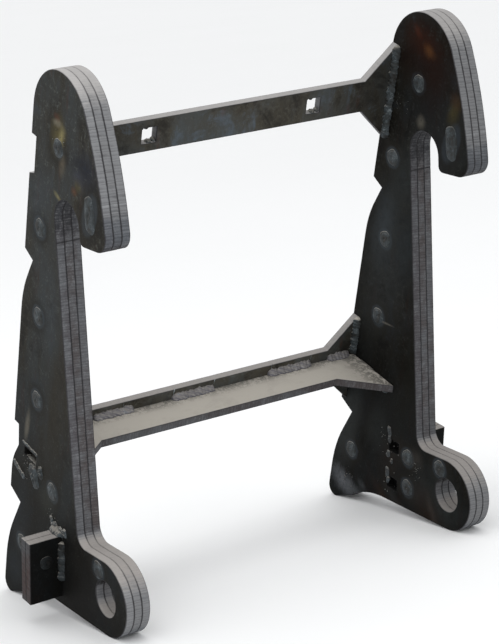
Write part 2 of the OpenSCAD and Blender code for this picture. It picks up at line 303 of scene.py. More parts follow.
def cut_edge(name, seed, shade, dark, marks, tint, pale_top=0.0):
    """A flame-cut edge: drag lines across it, painted light where it looks up or stands high,
    painted shade and some dirt in the seams at both corners, and dust where it looks up.

    dark is how dark the lines' hollows are; pale_top keeps the shade off the dusty parts.
    """
    w = Finish(name)
    along, deep = w.cut()
    patch = w.noise(13, 5, 0.6, 0.5, shift=seed)
    fine = w.noise(420, 4, 0.75, shift=seed)
    uneven = w.noise(85, 5, 0.7, 0.4, shift=seed + 5)
    lines = 0.5 - (along * (TAU / DRAG_LINES) + 1.57).wave() * 0.5
    up = w.upward()
    color = w.mix((patch + uneven * 0.5).step(0.55, 0.9), tint, CUT_GREY)
    # Painted light: the edge turns paler where it looks up and above 470 mm up, as if lit from
    # above
    painted_light = up + w.up.step(470, 700) * 0.3 + (patch - 0.5) * 0.3
    color = w.mix(painted_light.step(0.1, 0.4) * 0.8, color, CUT_LIGHT)
    for f, h, wide, tall, lean, paint, amount in marks:
        near = w.gap(f, h, wide, tall, lean) + (uneven - 0.5) * 1.2 + (patch - 0.5) * 0.8
        color = w.mix(near.step(1.2, 0.6) * amount, color, paint)
    color = w.mix((lines * 0.5 + uneven * 0.5).step(0.42, 0.15) * dark, color, CUT_DARK)
    color = w.mix((fine * 0.6 + uneven * 0.5 + lines * 0.1).step(0.6, 0.8) * 0.4, color, CUT_LIGHT)
    dusty = (up + (patch - 0.5) * 0.35 + (uneven - 0.5) * 0.35).step(0.15, 0.8)
    powder = w.mix(w.up.step(80, 600), DUST_LOW, DUST_GREY)
    color = w.mix((dusty * (0.7 + uneven * 0.45)).low(1), color, powder)
    torch_stop = ((w.up - TORCH_STOP).size() + (uneven - 0.5)).step(1.6, 0.5)
    color = w.mix(torch_stop * 0.9, color, CUT_DARK)
    rim = deep.low(PLATE - deep)
    # Darker seams at both corners: painted shade of the groove between laminated plates, with some
    # dirt
    seam_shade_and_dirt = (rim + (uneven - 0.5) * 1.6).step(1.8, 0.4)
    color = w.mix(seam_shade_and_dirt * (0.85 - dusty * 0.55), color, CUT_DARK)
    reach = w.across.size()
    inside = reach.step(INNER_X - 7, INNER_X - 4) * reach.step(OUTER_X + 0.6, OUTER_X + 0.3)
    # Painted shade: the edges inside the tab slots darkened nearly to black
    for f, h, wide, tall in SLOTS:
        color = w.mix(w.gap(f, h, wide, tall).step(1.1, 0.9) * inside, color, SOOT_AND_SHADE)
    color = w.darkened(color, shade, 1.0 - dusty * pale_top)
    rough = 0.7 - lines * 0.1 + dusty * 0.2
    height = lines * 0.3 + fine * 0.3 + uneven * 0.5
    return w.done(color, rough.low(0.95), w.bump(height, 0.0008, 0.8), 0.05, 0.2)


def weld_metal(name, seed, bright, dusty=0.35, shade=1.0, hollow=WELD_BROWN, main=WELD_BLUE):
    """Rippled weld metal, bluish grey with brown scale in its hollows and dust on top."""
    w = Finish(name)
    patch = w.noise(80, 4, 0.65, 0.4, shift=seed)
    fine = w.noise(420, 4, 0.7, shift=seed)
    speck, chance = w.cells(520)
    color = w.mix((patch + fine * 0.3).step(0.45, 0.8), hollow, main)
    color = w.mix((patch * 0.6 + fine * 0.5).step(0.58, 0.74) * bright, color, WELD_BRIGHT)
    color = w.mix(speck.step(0.25, 0.1) * chance.step(0.7, 0.8) * 0.5, color, SCALE_BLACK)
    color = w.darkened(color, shade)
    color = w.mix((w.upward().step(0.1, 0.7) * (dusty + patch * 0.5)).low(1), color, DUST)
    return w.done(color, 0.42 + fine * 0.35, w.bump(fine, 0.0005, 0.6), 0.3, 0.25)


def floor_paint():
    """Plain pale studio floor, faintly cloudy."""
    w = Finish("pale_floor")
    cloud = w.noise(1.3, 4, at=w.place)
    grain = w.noise(90, 3, at=w.place)
    color = w.mix(cloud * 0.5, (0.9, 0.9, 0.9), (0.86, 0.86, 0.855))
    return w.done(color, 0.85 + grain * 0.1, w.bump(grain, 0.0004, 0.2), 0.0, 0.2)


# ---- Reading outlines from the CAD nodes ----

def cad_surface(node):
    """A CAD node's corners with doubles merged, and its triangles."""
    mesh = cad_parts[node].data
    co = np.empty(len(mesh.vertices) * 3, np.float32)
    mesh.vertices.foreach_get("co", co)
    mesh.calc_loop_triangles()
    tri = np.empty(len(mesh.loop_triangles) * 3, np.int32)
    mesh.loop_triangles.foreach_get("vertices", tri)
    co = co.reshape(-1, 3).astype(float)
    _, first, back = np.unique(np.round(co / 1e-5).astype(np.int64), axis=0,
                               return_index=True, return_inverse=True)
    tri = back.reshape(-1)[tri].reshape(-1, 3)
    whole = (tri[:, 0] != tri[:, 1]) & (tri[:, 1] != tri[:, 2]) & (tri[:, 2] != tri[:, 0])
    return co[first], tri[whole]


def separate_parts(node):
    """The corners of each separate solid in a CAD node, found by passing the lowest label along."""
    co, tri = cad_surface(node)
    label, before = np.arange(len(co)), None
    while before is None or (label != before).any():
        before = label.copy()
        np.minimum.at(label, tri.ravel(), np.repeat(label[tri].min(1), 3))
        label = label[label]
    return [co[label == k] for k in np.unique(label)]


DOUBLINGS = 16  # enough for an outline of 2 ** 16 corners


def face_outlines(node, hint):
    """The plate's broad face that looks along hint: its normal, thickness and closed outlines.

    A face edge whose reverse isn't in the face is on an outline. Each corner's rank along its
    outline comes from doubling the step to the next corner until it reaches the outline's head.
    """
    co, tri = cad_surface(node)
    cross = np.cross(co[tri[:, 1]] - co[tri[:, 0]], co[tri[:, 2]] - co[tri[:, 0]])
    size = np.linalg.norm(cross, axis=1)
    unit = cross / np.maximum(size, 1e-18)[:, None]
    facing = unit @ hint > 0.9
    normal = cross[facing].sum(0)
    normal /= np.linalg.norm(normal)
    depth = co[tri].mean(1) @ normal
    facing = unit @ normal > 0.9995
    facing &= depth > depth[facing].max() - 2e-5
    thick = np.ptp(co @ normal)
    t = tri[facing]
    half = np.concatenate([t[:, [0, 1]], t[:, [1, 2]], t[:, [2, 0]]])
    n = len(co)
    rim = half[~np.isin(half[:, 0] * n + half[:, 1], half[:, 1] * n + half[:, 0])]
    after = np.arange(n)
    after[rim[:, 0]] = rim[:, 1]
    head, hop = np.arange(n), after.copy()
    for _ in range(DOUBLINGS):
        head, hop = np.minimum(head, head[hop]), hop[hop]
    at_head = head == np.arange(n)
    hop = np.where(at_head, np.arange(n), after)
    rank = (~at_head).astype(int)
    for _ in range(DOUBLINGS):
        rank, hop = rank + rank[hop], hop[hop]
    start = rim[:, 0]
    loops = []
    for h in np.unique(head[start]):
        member = start[head[start] == h]
        loops.append(co[member[np.argsort(-rank[member])]])
    return normal, thick, loops


# ---- Outlines and cut plates ----

CORNER = np.cos(np.radians(28))  # a turn sharper than this stays a corner
CURVE_POINTS = 7  # on each parabola of a smoothed outline
PLATE_STEP = 1.0 * MM  # between an outline's points
DRAG_PITCH = DRAG_LINES * MM
DRAG_LAG = 0.9 * MM  # how far a drag line lags over the plate's thickness
MERGE = 0.4 * MM  # outline points closer than this become one
MELT_NEAR, MELT_FAR = 0.9 * MM, 0.7 * MM  # radii of a cut's two melted corners
DRAG_FADE = 1.2 * MM  # drag lines fade out this far from a corner
BEATS = 197.0, 610.0  # radians a metre of two beats that vary the drag lines' depth
SLOW_WAVES = [(23, 0.07 * MM), (67, 0.05 * MM), (211, 0.04 * MM)]  # waves in an outline, depth


def smoothed(flat):
    """Rounds an outline's shallow turns by short parabolas; a turn over 28 degrees stays sharp."""
    flat = flat[np.linalg.norm(flat - np.roll(flat, 1, 0), axis=1) > MERGE]
    a, b = np.roll(flat, 1, 0), np.roll(flat, -1, 0)
    into, out = flat - a, b - flat
    la, lb = np.linalg.norm(into, axis=1), np.linalg.norm(out, axis=1)
    into, out = into / la[:, None], out / lb[:, None]
    sharp = (into * out).sum(1) < CORNER
    reach = np.where(sharp, 0, 0.5 * np.minimum(la, lb))[:, None]
    t = np.linspace(0, 1, CURVE_POINTS)[None, :, None]
    p0, p1, p2 = (q[:, None] for q in (flat - into * reach, flat, flat + out * reach))
    curve = (1 - t) ** 2 * p0 + 2 * t * (1 - t) * p1 + t ** 2 * p2
    dense = curve.reshape(-1, 2)
    flag = np.repeat(sharp, CURVE_POINTS)
    keep = np.linalg.norm(dense - np.roll(dense, 1, 0), axis=1) > 1e-7
    keep |= flag & (np.arange(len(flag)) % CURVE_POINTS == 0)
    return dense[keep], flag[keep]


def evenly(flat, step):
    """The outline with its points step apart, keeping every sharp corner; its running length."""
    dense, sharp = smoothed(flat)
    first = np.argmax(sharp) if sharp.any() else 0
    dense, sharp = np.roll(dense, -first, 0), np.roll(sharp, -first)
    closed = np.vstack([dense, dense[:1]])
    length = np.concatenate([[0], np.cumsum(np.linalg.norm(np.diff(closed, axis=0), axis=1))])
    ends = np.concatenate([length[:-1][sharp], length[-1:]]) if sharp.any() else length[[0, -1]]
    count = np.maximum(1, np.round(np.diff(ends) / step).astype(int))
    s = np.concatenate([np.linspace(a, b, k, endpoint=False)
                        for a, b, k in zip(ends[:-1], ends[1:], count)])
    points = np.stack([np.interp(s, length, closed[:, k]) for k in range(2)], 1)
    return points, s, length[-1]


def mitres(points):
    """Outward direction at each point of an outline, longer at a corner to keep insets even."""
    into = points - np.roll(points, 1, 0)
    into /= np.linalg.norm(into, axis=1)[:, None]
    side = np.stack([into[:, 1], -into[:, 0]], 1)
    other = np.roll(side, -1, 0)
    total = side + other
    return total / np.maximum(0.35, (1 + (side * other).sum(1)))[:, None]


def wobble(x, seed, waves):
    """Smooth noise: a sum of sines of the given wavelengths and amplitudes, with random phases."""
    phase = np.random.default_rng(seed).uniform(0, TAU, len(waves))
    return sum(a * np.sin(TAU * x / w + p) for (w, a), p in zip(waves, phase))


def new_piece(name, points, faces, materials, which=None, uv=None, smooth=None):
    """Makes a mesh object from whole arrays; faces is a list of arrays of equal-sided faces.

    which and smooth say each face's material and shading, and uv each face corner's place.
    """
    mesh = bpy.data.meshes.new(name)
    corners = np.concatenate([f.ravel() for f in faces]).astype(np.int32)
    sides = np.concatenate([np.full(len(f), f.shape[1]) for f in faces]).astype(np.int32)
    mesh.vertices.add(len(points))
    mesh.vertices.foreach_set("co", points.astype(np.float32).ravel())
    mesh.loops.add(len(corners))
    mesh.loops.foreach_set("vertex_index", corners)
    mesh.polygons.add(len(sides))
    starts = np.concatenate([[0], np.cumsum(sides)[:-1]]).astype(np.int32)
    mesh.polygons.foreach_set("loop_start", starts)
    if which is not None:
        mesh.polygons.foreach_set("material_index", which.astype(np.int32))
    smooth = np.ones(len(sides), bool) if smooth is None else smooth
    mesh.polygons.foreach_set("use_smooth", smooth)
    if uv is not None:
        layer = mesh.uv_layers.new(name="Cut")
        layer.uv.foreach_set("vector", uv.astype(np.float32).ravel())
    mesh.update(calc_edges=True)
    for m in materials:
        mesh.materials.append(m)
    piece = bpy.data.objects.new(name, mesh)
    bpy.context.scene.collection.objects.link(piece)
    return piece


def edge_profile(thick, near, far):
    """Stations through a plate: depth, and inset where its two corners are melted round."""
    turn = np.radians([0, 30, 60, 90])
    front = np.stack([near * (1 - np.cos(turn)), near * (1 - np.sin(turn))], 1)
    back = np.stack([thick - far * (1 - np.cos(turn)), far * (1 - np.sin(turn))], 1)[::-1]
    middle = np.stack([np.linspace(near, thick - far, 6)[1:-1], np.zeros(4)], 1)
    return np.concatenate([front, middle, back]).T


def drag_lines(s, whole, share, seed, k):
    """A torch's drag lines: how far along each point's line is, their pitch, and their ridges.

    A line's place is the length s along the outline, plus the lag times the square of the share of
    the depth, plus swings. The ridges are a raised cosine of it, with two beats on their depth.
    """
    pitch = whole / max(3, round(whole / DRAG_PITCH))
    lag = s[:, None] + DRAG_LAG * share ** 2
    swings = [(whole / 9, 0.6 * MM), (whole / 31, 0.5 * MM),
              (whole / max(2, round(whole / (13 * MM))), 0.9 * MM),
              (whole / max(3, round(whole / (7.7 * MM))), 0.5 * MM)]
    lag = lag + wobble(s, seed + k, swings)[:, None]
    ridge = (0.5 + 0.5 * np.cos(TAU * lag / pitch)) ** 1.5
    beat = 0.6 + 0.8 * np.sin(lag * BEATS[0] + seed) * np.sin(lag * BEATS[1])
    return lag, pitch, ridge * beat


def cap_triangles(rims, stations):
    """Triangles over both broad faces; a rim is its points' numbers and its two outlines."""
    caps = []
    for end, reverse in ((1, False), (2, True)):
        index = np.concatenate([r[0] for r in rims]) + (stations - 1 if reverse else 0)
        outlines = [np.pad(r[end] / MM, ((0, 0), (0, 1))).tolist() for r in rims]
        tri = index[np.array(tessellate_polygon(outlines))]
        caps.append(tri[:, ::-1] if reverse else tri)
    return np.concatenate(caps)


def cut_plate(name, node, hint, upright, materials, nick=None, groove=0.2 * MM, seed=0):
    """A flame-cut plate from its CAD node's outline.

    At length s along the outline and depth d into the plate, the surface is the outline point,
    moved in by the melted corner, by the drag lines, which lag with depth, by slow waviness and by
    the nick. hint is the way its cap looks, and groove the drag lines' depth.
    """
    normal, thick, loops = face_outlines(node, hint)
    up = upright - normal * (upright @ normal)
    up /= np.linalg.norm(up)
    side = np.cross(up, normal)
    level = loops[0][0] @ normal
    deep, inset = edge_profile(thick, MELT_NEAR, MELT_FAR)
    core = np.clip(np.minimum(deep, thick - deep) / DRAG_FADE, 0, 1)[None]
    stations = len(deep)
    points, quads, quad_uv, rims, total = [], [], [], [], 0
    for k, loop in enumerate(loops):
        flat, s, whole = evenly(np.stack([loop @ side, loop @ up], 1), PLATE_STEP)
        out = mitres(flat)
        lag, pitch, ridge = drag_lines(s, whole, deep[None] / thick, seed, k)
        slow = [(whole / count, depth) for count, depth in SLOW_WAVES]
        moved = inset[None] + groove * ridge * core
        moved = moved + np.abs(wobble(s, seed + 50 + k, slow))[:, None]
        if nick is not None:
            moved = moved + nick(flat, out, side, up)[:, None]
        plane = flat[:, None] - out[:, None] * moved[:, :, None]
        height = (level - deep)[None, :, None]
        spot = plane[..., :1] * side + plane[..., 1:] * up + height * normal
        points.append(spot.reshape(-1, 3))
        n = len(flat)
        i, j = np.meshgrid(np.arange(n), np.arange(stations - 1), indexing="ij")
        a, b = total + i * stations + j, total + (i + 1) % n * stations + j
        quads.append(np.stack([a, a + 1, b + 1, b], -1).reshape(-1, 4))
        drag = np.vstack([lag, lag[:1] + whole]) * DRAG_PITCH / pitch
        quad_uv.append(np.stack([drag[i, j], deep[j], drag[i, j + 1], deep[j + 1],
                                 drag[i + 1, j + 1], deep[j + 1], drag[i + 1, j], deep[j]],
                                -1).reshape(-1, 4, 2))
        rims.append((total + np.arange(n) * stations, plane[:, 0], plane[:, -1]))
        total += n * stations
    points, quads, quad_uv = np.concatenate(points), np.concatenate(quads), np.concatenate(quad_uv)
    tri = cap_triangles(rims, stations)
    face_uv = np.stack([points[tri] @ side, points[tri] @ up], -1)
    which = np.concatenate([np.ones(len(quads)), np.zeros(len(tri))])
    uv = np.concatenate([quad_uv.reshape(-1, 2), face_uv.reshape(-1, 2)])
    piece = new_piece(name, points, [quads, tri], materials, which, uv, which > 0)
    turn_outward(piece.data)
    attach(piece, "root")
    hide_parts(node)


def turn_outward(mesh):
    """Turns the few cap triangles outward that are slivers and were filled the wrong way round."""
    solid = bmesh.new()
    solid.from_mesh(mesh)
    bmesh.ops.recalc_face_normals(solid, faces=solid.faces)
    solid.to_mesh(mesh)
    solid.free()


def front_nick(flat, out, side, up):
    """How deep the thin torch stop across the front edge cuts at each point of an outline."""
    rise = flat @ np.array([side @ RISE, up @ RISE]) - np.array([0, SHIFT_Y, LIFT_Z]) @ RISE
    ahead = out @ np.array([side @ -REAR, up @ -REAR])
    return 0.5 * MM * np.exp(-((rise - TORCH_STOP * MM) / (0.9 * MM)) ** 2) * (ahead > 0.85)


# ---- Welds ----

def closed_tube(rows):
    """Quads round a grid of closed rings, with its first and last rings closed by fans."""
    n, m, _ = rows.shape
    i, j = np.meshgrid(np.arange(n - 1), np.arange(m), indexing="ij")
    a, b = i * m + j, i * m + (j + 1) % m
    quads = np.stack([a, b, b + m, a + m], -1).reshape(-1, 4)
    points = np.concatenate([rows.reshape(-1, 3), rows[[0, -1]].mean(1)])
    k = np.arange(m)
    first = np.stack([np.full(m, n * m), (k + 1) % m, k], 1)
    last = np.stack([np.full(m, n * m + 1), (n - 1) * m + k, (n - 1) * m + (k + 1) % m], 1)
    return points, quads, np.concatenate([first, last])


def outward(points, quads, tris):
    """Turns a closed surface right side out, by the sign of its volume."""
    split = np.concatenate([quads[:, [0, 1, 2]], quads[:, [0, 2, 3]], tris])
    p = points[split]
    if np.einsum("ij,ij->i", p[:, 0], np.cross(p[:, 1], p[:, 2])).sum() < 0:
        return quads[:, ::-1], tris[:, ::-1]
    return quads, tris


def merge(surfaces):
    """Several closed surfaces as one."""
    points, quads, tris, total = [], [], [], 0
    for p, q, t in surfaces:
        q, t = outward(p - p.mean(0), q, t)
        points.append(p), quads.append(q + total), tris.append(t + total)
        total += len(p)
    return np.concatenate(points), np.concatenate(quads), np.concatenate(tris)


# Wavelengths and shares by which a bead's width, lean, front and height wander
LEG_WAVES = [(31 * MM, 0.06), (13 * MM, 0.06), (5.7 * MM, 0.04)]
LEG_TILT = [(17 * MM, 0.05), (7.3 * MM, 0.04)]
LEG_FRONT = [(41 * MM, 0.8 * MM), (19 * MM, 0.5 * MM)]
FLAT_WAVES = [(23 * MM, 0.09), (9 * MM, 0.07), (4.1 * MM, 0.05)]
FLAT_TILT = [(15 * MM, 0.08), (6.1 * MM, 0.06)]
FLAT_FRONT = [(29 * MM, 0.7 * MM), (11 * MM, 0.4 * MM)]
FLAT_TALL = [(19 * MM, 0.15), (8 * MM, 0.15)]
RIM_WAVES = [(TAU / 2, 0.025), (TAU / 3, 0.03), (TAU / 5, 0.025), (TAU / 9, 0.015)]


def run_of(start, end, step, least, reach):
    """A bead's axis, its length, the lengths of its rings along it, and how its ends round off."""
    axis = end - start
    length = np.linalg.norm(axis)
    s = np.linspace(0, length, max(least, int(length / step)))[:, None]
    end_gap = np.clip(np.minimum(s, length - s) / reach, 0, 1)
    return axis / length, s, np.sqrt(np.maximum(1 - (1 - end_gap) ** 2, 0.004))


def bead(start, end, wall, floor, leg, seed, ripple=2.6 * MM, full=0.22, height=0.16 * MM):
    """A fillet bead from start to end in the corner between two surfaces.

    At turn u from one surface to the other its radius is that of a flat fillet, leg over
    (cos u + sin u), swollen in the middle, plus crescent ripples. The legs shrink to round ends.
    """
    axis, s, taper = run_of(start, end, 0.55 * MM, 12, 0.8 * leg)
    u = np.linspace(0, np.pi / 2, 13)[None]
    legs = leg * (1 + wobble(s, seed, LEG_WAVES)
                  + wobble(s + u * 9 * MM, seed + 1, LEG_TILT) * np.cos(2 * u))
    base = legs / (np.cos(u) + np.sin(u)) * (1 + full * np.sin(2 * u))
    front = s - 0.55 * leg * np.sin(2 * u) + wobble(s, seed + 2, LEG_FRONT)
    crest = np.abs(np.sin(np.pi * front / ripple)) ** 0.7
    radius = (base + height * (crest - 0.5) * np.sin(2 * u) ** 0.5) * taper
    radius = np.maximum(radius, 0.2 * MM)
    rows = (start + s[..., None] * axis + radius[..., None] *
            (np.cos(u)[..., None] * wall + np.sin(u)[..., None] * floor))
    root = start + s * axis - 0.4 * MM * (wall + floor)
    return closed_tube(np.concatenate([rows, root[:, None]], 1))


def flat_bead(start, end, normal, width, height, seed, ripple=2.4 * MM, root=0.8 * MM):
    """A bead laid on a flat face: half an ellipse across, with crescent ripples and round ends.

    At turn u over its width it rises by its height times sin u, and its underside is root deep.
    """
    axis, s, taper = run_of(start, end, 0.5 * MM, 14, 0.6 * width)
    side = np.cross(normal, axis)
    u = np.linspace(0, np.pi, 15)[None]
    wander = wobble(s, seed, FLAT_WAVES) + wobble(s, seed + 1, FLAT_TILT) * np.cos(u)
    half = 0.5 * width * (1 + wander) * taper
    front = s - 0.4 * width * np.sin(u) + wobble(s, seed + 2, FLAT_FRONT)
    crest = np.abs(np.sin(np.pi * front / ripple)) ** 0.7
    tall = height * (1 + wobble(s + u * 3 * MM, seed + 3, FLAT_TALL)) * taper
    rise = (tall + (crest - 0.5) * 0.3 * height) * np.sin(u)
    rows = (start + s[..., None] * axis + (half * np.cos(u))[..., None] * side
            + rise[..., None] * normal)
    sunk = rows[:, [-1, 0]] - root * normal
    return closed_tube(np.concatenate([rows, sunk], 1))


# Rings of a dome as shares of its radius, and how deep each is sunk in the plate
DOME_RINGS = (0.04, 0.14, 0.26, 0.38, 0.5, 0.62, 0.73, 0.83, 0.91, 0.97, 1.0, 0.995, 0.6)
DOME_SUNK = (0,) * 10 + (0.25, 1.0, 1.0)


def dome(centre, normal, upright, radius, cap, seed, long=0.0, lean=0.0, crater=0.5, rough=1.0):
    """A plug weld's cap: a low dome with swirled ripples, a crater and an uneven rim.

    At share r from its centre and angle a, its height is cap times (1 - r^4), plus rings that
    wind once round. Under the rim it goes down into the plate and closes at its middle. long
    stretches it each way along its lean.
    """
    up = upright * np.cos(lean) + np.cross(normal, upright) * np.sin(lean)
    side = np.cross(up, normal)
    r, sunk = np.array(DOME_RINGS)[:, None], np.array(DOME_SUNK)[:, None]
    a = np.linspace(0, TAU, 48, endpoint=False)[None]
    rim = 1 + rough * wobble(a, seed, RIM_WAVES)
    lumps = wobble(a * r + r * 3, seed + 1, [(0.9, 1), (0.37, 0.8)])
    rise = cap * (1 - r ** 4) + cap * 0.16 * np.sin(TAU * 3.1 * r + a) * (r < 0.95)
    rise = rise + cap * 0.14 * rough * lumps * (1 - r)
    rise = rise - cap * crater * np.exp(-(r / 0.16) ** 2)
    rise = np.where(sunk > 0, -sunk * MM, np.maximum(rise, 0.05 * MM))
    x = r * rim * radius * np.cos(a)
    y = r * rim * radius * np.sin(a) + r * long * np.clip(1.8 * np.sin(a), -1, 1)
    rows = centre + x[..., None] * side + y[..., None] * up + rise[..., None] * normal
    return closed_tube(rows)


def weld_piece(name, surfaces, material, *nodes):
    """One piece of weld metal from closed surfaces, in place of those CAD nodes, if any."""
    points, quads, tris = merge(surfaces)
    piece = new_piece(name, points, [quads, tris], [material])
    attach(piece, "root")
    if nodes:
        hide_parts(*nodes)


CAP_PROUD = 1.5 * MM  # how far a plug's CAD cap stands out
ROUND = 3 * MM  # a plug no longer than this is a round one


def plug_caps(node, outside, seed):
    """A dome on each separate plug of a CAD node, on the face that looks along outside."""
    found = []
    for k, part in enumerate(separate_parts(node)):
        level = (part @ outside).max()
        rim = part[part @ outside > level - 1e-5]
        middle = rim.mean(0)
        long = np.linalg.norm(rim - middle, axis=1).max() - CAP_RADIUS * MM
        long, lean = (long, -RAKE * outside[0]) if long > ROUND else (0.0, 0.0)
        found.append(dome(middle - outside * CAP_PROUD, outside, RISE, CAP_RADIUS * MM, 1.4 * MM,
                          seed + 7 * k, long, lean))
    return found


def spatter(spots, seed):
    """Small weld droplets: spheres of 5 by 8 faces, half sunk, scattered round each spot.

    A spot is (centre, normal, spread, count).
    """
    rng = np.random.default_rng(seed)
    lat = np.linspace(0.15, np.pi - 0.15, 6)[:, None]
    lon = np.linspace(0, TAU, 8, endpoint=False)[None]
    ball = np.stack([np.sin(lat) * np.cos(lon), np.sin(lat) * np.sin(lon),
                     np.cos(lat) * np.ones_like(lon)], -1)
    found = []
    for centre, normal, spread, count in spots:
        side = np.cross(RISE, normal)
        up = np.cross(normal, side)
        places = np.clip(rng.normal(0, spread, (2, count)), -1.6 * spread, 1.6 * spread)
        sizes = rng.uniform(0.35, 0.95, count) ** 1.5
        for x, y, size in zip(*places, sizes):
            found.append(closed_tube(centre + side * x + up * y + ball * size * 1.1 * MM))
    return found


# ---- The plates ----

def both_sides(build):
    """Builds the left frame's and the right frame's own; outside is the way out of the frame."""
    for side, sign in (("left", -1), ("right", 1)):
        build(side, sign * ACROSS)


# Plug welds as (forward, up, half the straight part of a long one)
COMMON_PLUGS = [(68, 705, 0), (36, 578, 0), (46, 453, 0), (56, 331, 0), (41, 90, 0),
                (240, 176, 0), (153, 652, 12)]
OUTER_PLUGS = COMMON_PLUGS + [(111, 218, 0)]
INNER_PLUGS = COMMON_PLUGS + [(169, 152, 0), (179, 105, 0)]

# Marks as (forward, up, wide, tall, lean, colour, amount): heat tint, oil, grime and smears, and
# some painted shade
SMEAR = (0.3, 0.27, 0.21)
SMEAR_YELLOW = (0.3, 0.26, 0.12)
LEFT_OUTER_MARKS = [
    (70, 712, 26, 44, 0.1, (0.02, 0.017, 0.012), 0.7), (66, 722, 17, 26, 0.1, RUST_YELLOW, 0.7),
    (74, 722, 7, 16, 0.25, SMEAR_YELLOW, 0.6), (62, 737, 10, 5, -0.2, SMEAR, 0.45),
    (80, 686, 8, 16, 0.1, (0.12, 0.1, 0.07), 0.6), (75, 641, 10, 3.5, 0.3, SMEAR_YELLOW, 0.5),
    (60, 744, 8, 5, 0, (0.09, 0.03, 0.02), 0.5), (121, 678, 9, 8, 0, RUST_YELLOW, 0.7),
    (113, 666, 7, 6, 0, (0.12, 0.05, 0.02), 0.6),
    (135, 704, 34, 26, -0.3, (0.014, 0.017, 0.026), 0.85),
    (120, 688, 14, 10, 0, (0.045, 0.05, 0.065), 0.6), (35, 278, 6, 24, 0.1, SMEAR, 0.3),
    (100, 200, 20, 26, 0.3, (0.03, 0.033, 0.028), 0.6),
    (30, 120, 30, 70, 0, (0.022, 0.026, 0.03), 0.5),
    (25, 40, 30, 30, 0, (0.018, 0.022, 0.026), 0.6), (205, 115, 95, 75, 0.2, SCALE_BLACK, 0.85),
    (112, 380, 34, 170, 0.15, (0.026, 0.023, 0.017), 0.65),
    (100, 590, 40, 90, 0.2, (0.026, 0.021, 0.014), 0.6), (28, 610, 20, 50, 0, SCALE_BLUE, 0.45),
    (75, 480, 26, 70, -0.1, SCALE_BLUE, 0.4),
]
RIGHT_INNER_MARKS = [
    (78, 745, 75, 50, 0, (0.01, 0.0045, 0.003), 0.9),
    (66, 765, 36, 24, 0.3, (0.022, 0.0075, 0.004), 0.9),
    (80, 757, 13, 9, 0.3, (0.075, 0.032, 0.012), 0.85),
    (50, 775, 12, 6, 0.6, (0.045, 0.014, 0.008), 0.7),
    (100, 715, 24, 46, 0, (0.015, 0.006, 0.004), 0.6), (90, 680, 50, 50, 0, SCALE_BLACK, 0.6),
    (148, 694, 11, 20, 0.2, (0.06, 0.048, 0.018), 0.7),
    (150, 712, 14, 12, 0.2, (0.05, 0.025, 0.012), 0.5),
    (85, 654, 9, 10, 0.3, (0.12, 0.11, 0.09), 0.6), (8, 668, 12, 80, 0, SOOT_AND_SHADE, 0.95),
    (60, 420, 70, 130, 0.1, SCALE_GREY, 0.45), (40, 470, 26, 60, 0.1, SCALE_BLUE, 0.45),
    (75, 329, 18, 1.6, -0.2, (0.15, 0.14, 0.12), 0.7),
    (150, 260, 60, 90, 0, (0.009, 0.0088, 0.007), 0.8), (60, 200, 60, 60, 0, SCALE_BLACK, 0.5),
    # The first mark on the next line is painted shadow of the shelf on the plate
    (70, 238, 60, 10, 0, SOOT_AND_SHADE, 0.8), (20, 105, 26, 70, 0.1, SCALE_GREY, 0.7),
    (32, 28, 30, 18, 0.3, (0.11, 0.115, 0.125), 0.95),
    (66, 24, 22, 14, 0.2, (0.075, 0.08, 0.085), 0.8),
    (78, 47, 12, 7, 0.3, (0.07, 0.075, 0.08), 0.5),
    (189, 160, 16, 16, 0.4, (0.045, 0.04, 0.036), 0.6),
    (20, 160, 34, 60, 0.2, (0.03, 0.033, 0.033), 0.7),
    (90, 160, 26, 40, 0.1, (0.022, 0.024, 0.023), 0.7),
    (170, 62, 50, 12, 0.4, (0.032, 0.03, 0.028), 0.6),
    (205, 120, 26, 40, 0.3, (0.026, 0.028, 0.028), 0.6),
    (262, 60, 60, 14, 0.1, (0.034, 0.034, 0.034), 0.5),
    (70, 560, 30, 60, 0.2, (0.024, 0.028, 0.029), 0.6),
    (100, 470, 30, 60, 0.1, (0.018, 0.022, 0.025), 0.6),
    (150, 650, 34, 50, 0.2, (0.014, 0.016, 0.018), 0.5),
    (133, 130, 26, 46, 0.2, (0.022, 0.017, 0.014), 0.6),
    (235, 105, 40, 30, 0, (0.024, 0.013, 0.009), 0.6),
    (150, 46, 60, 12, 0.5, (0.03, 0.018, 0.013), 0.7),
    (240, 100, 30, 8, 0.9, (0.05, 0.04, 0.034), 0.5),
    (262, 130, 44, 40, 0, (0.022, 0.027, 0.027), 0.8),
]
SLOT_SHADE = [(100, 622, 44, 46, 0, CUT_BLUE, 0.85)]
# Worn spots on the finger tip's edges; the last mark is painted shade under the tip
TIP_WEAR_AND_SHADE = [(205, 680, 26, 26, 0, CUT_LIGHT, 0.5), (198, 672, 22, 3, 0.2, (0.36, 0.37, 0.38), 0.4),
            (195, 642, 24, 22, 0, (0.085, 0.095, 0.11), 0.6), (176, 616, 30, 12, 0, CUT_DARK, 0.7)]
ARM_END = [(285, 135, 50, 75, 0, CUT_LIGHT, 0.8), (290, 110, 30, 30, 0, (0.15, 0.165, 0.18), 0.6)]
# Painted shadow, with some soot, on the upper wall of the eye's bore
BORE_SHADE_AND_SOOT = [(246, 160, 15, 12, 0, SOOT_AND_SHADE, 0.9)]


def hook_edge(side, layer, seed, shade, tint):
    """A hook plate's own cut edge, with the marks that all of them share."""
    return cut_edge(f"flame_cut_edge_{side}_{layer}", seed, shade, 0.35,
                    SLOT_SHADE + TIP_WEAR_AND_SHADE + ARM_END + BORE_SHADE_AND_SOOT, tint)


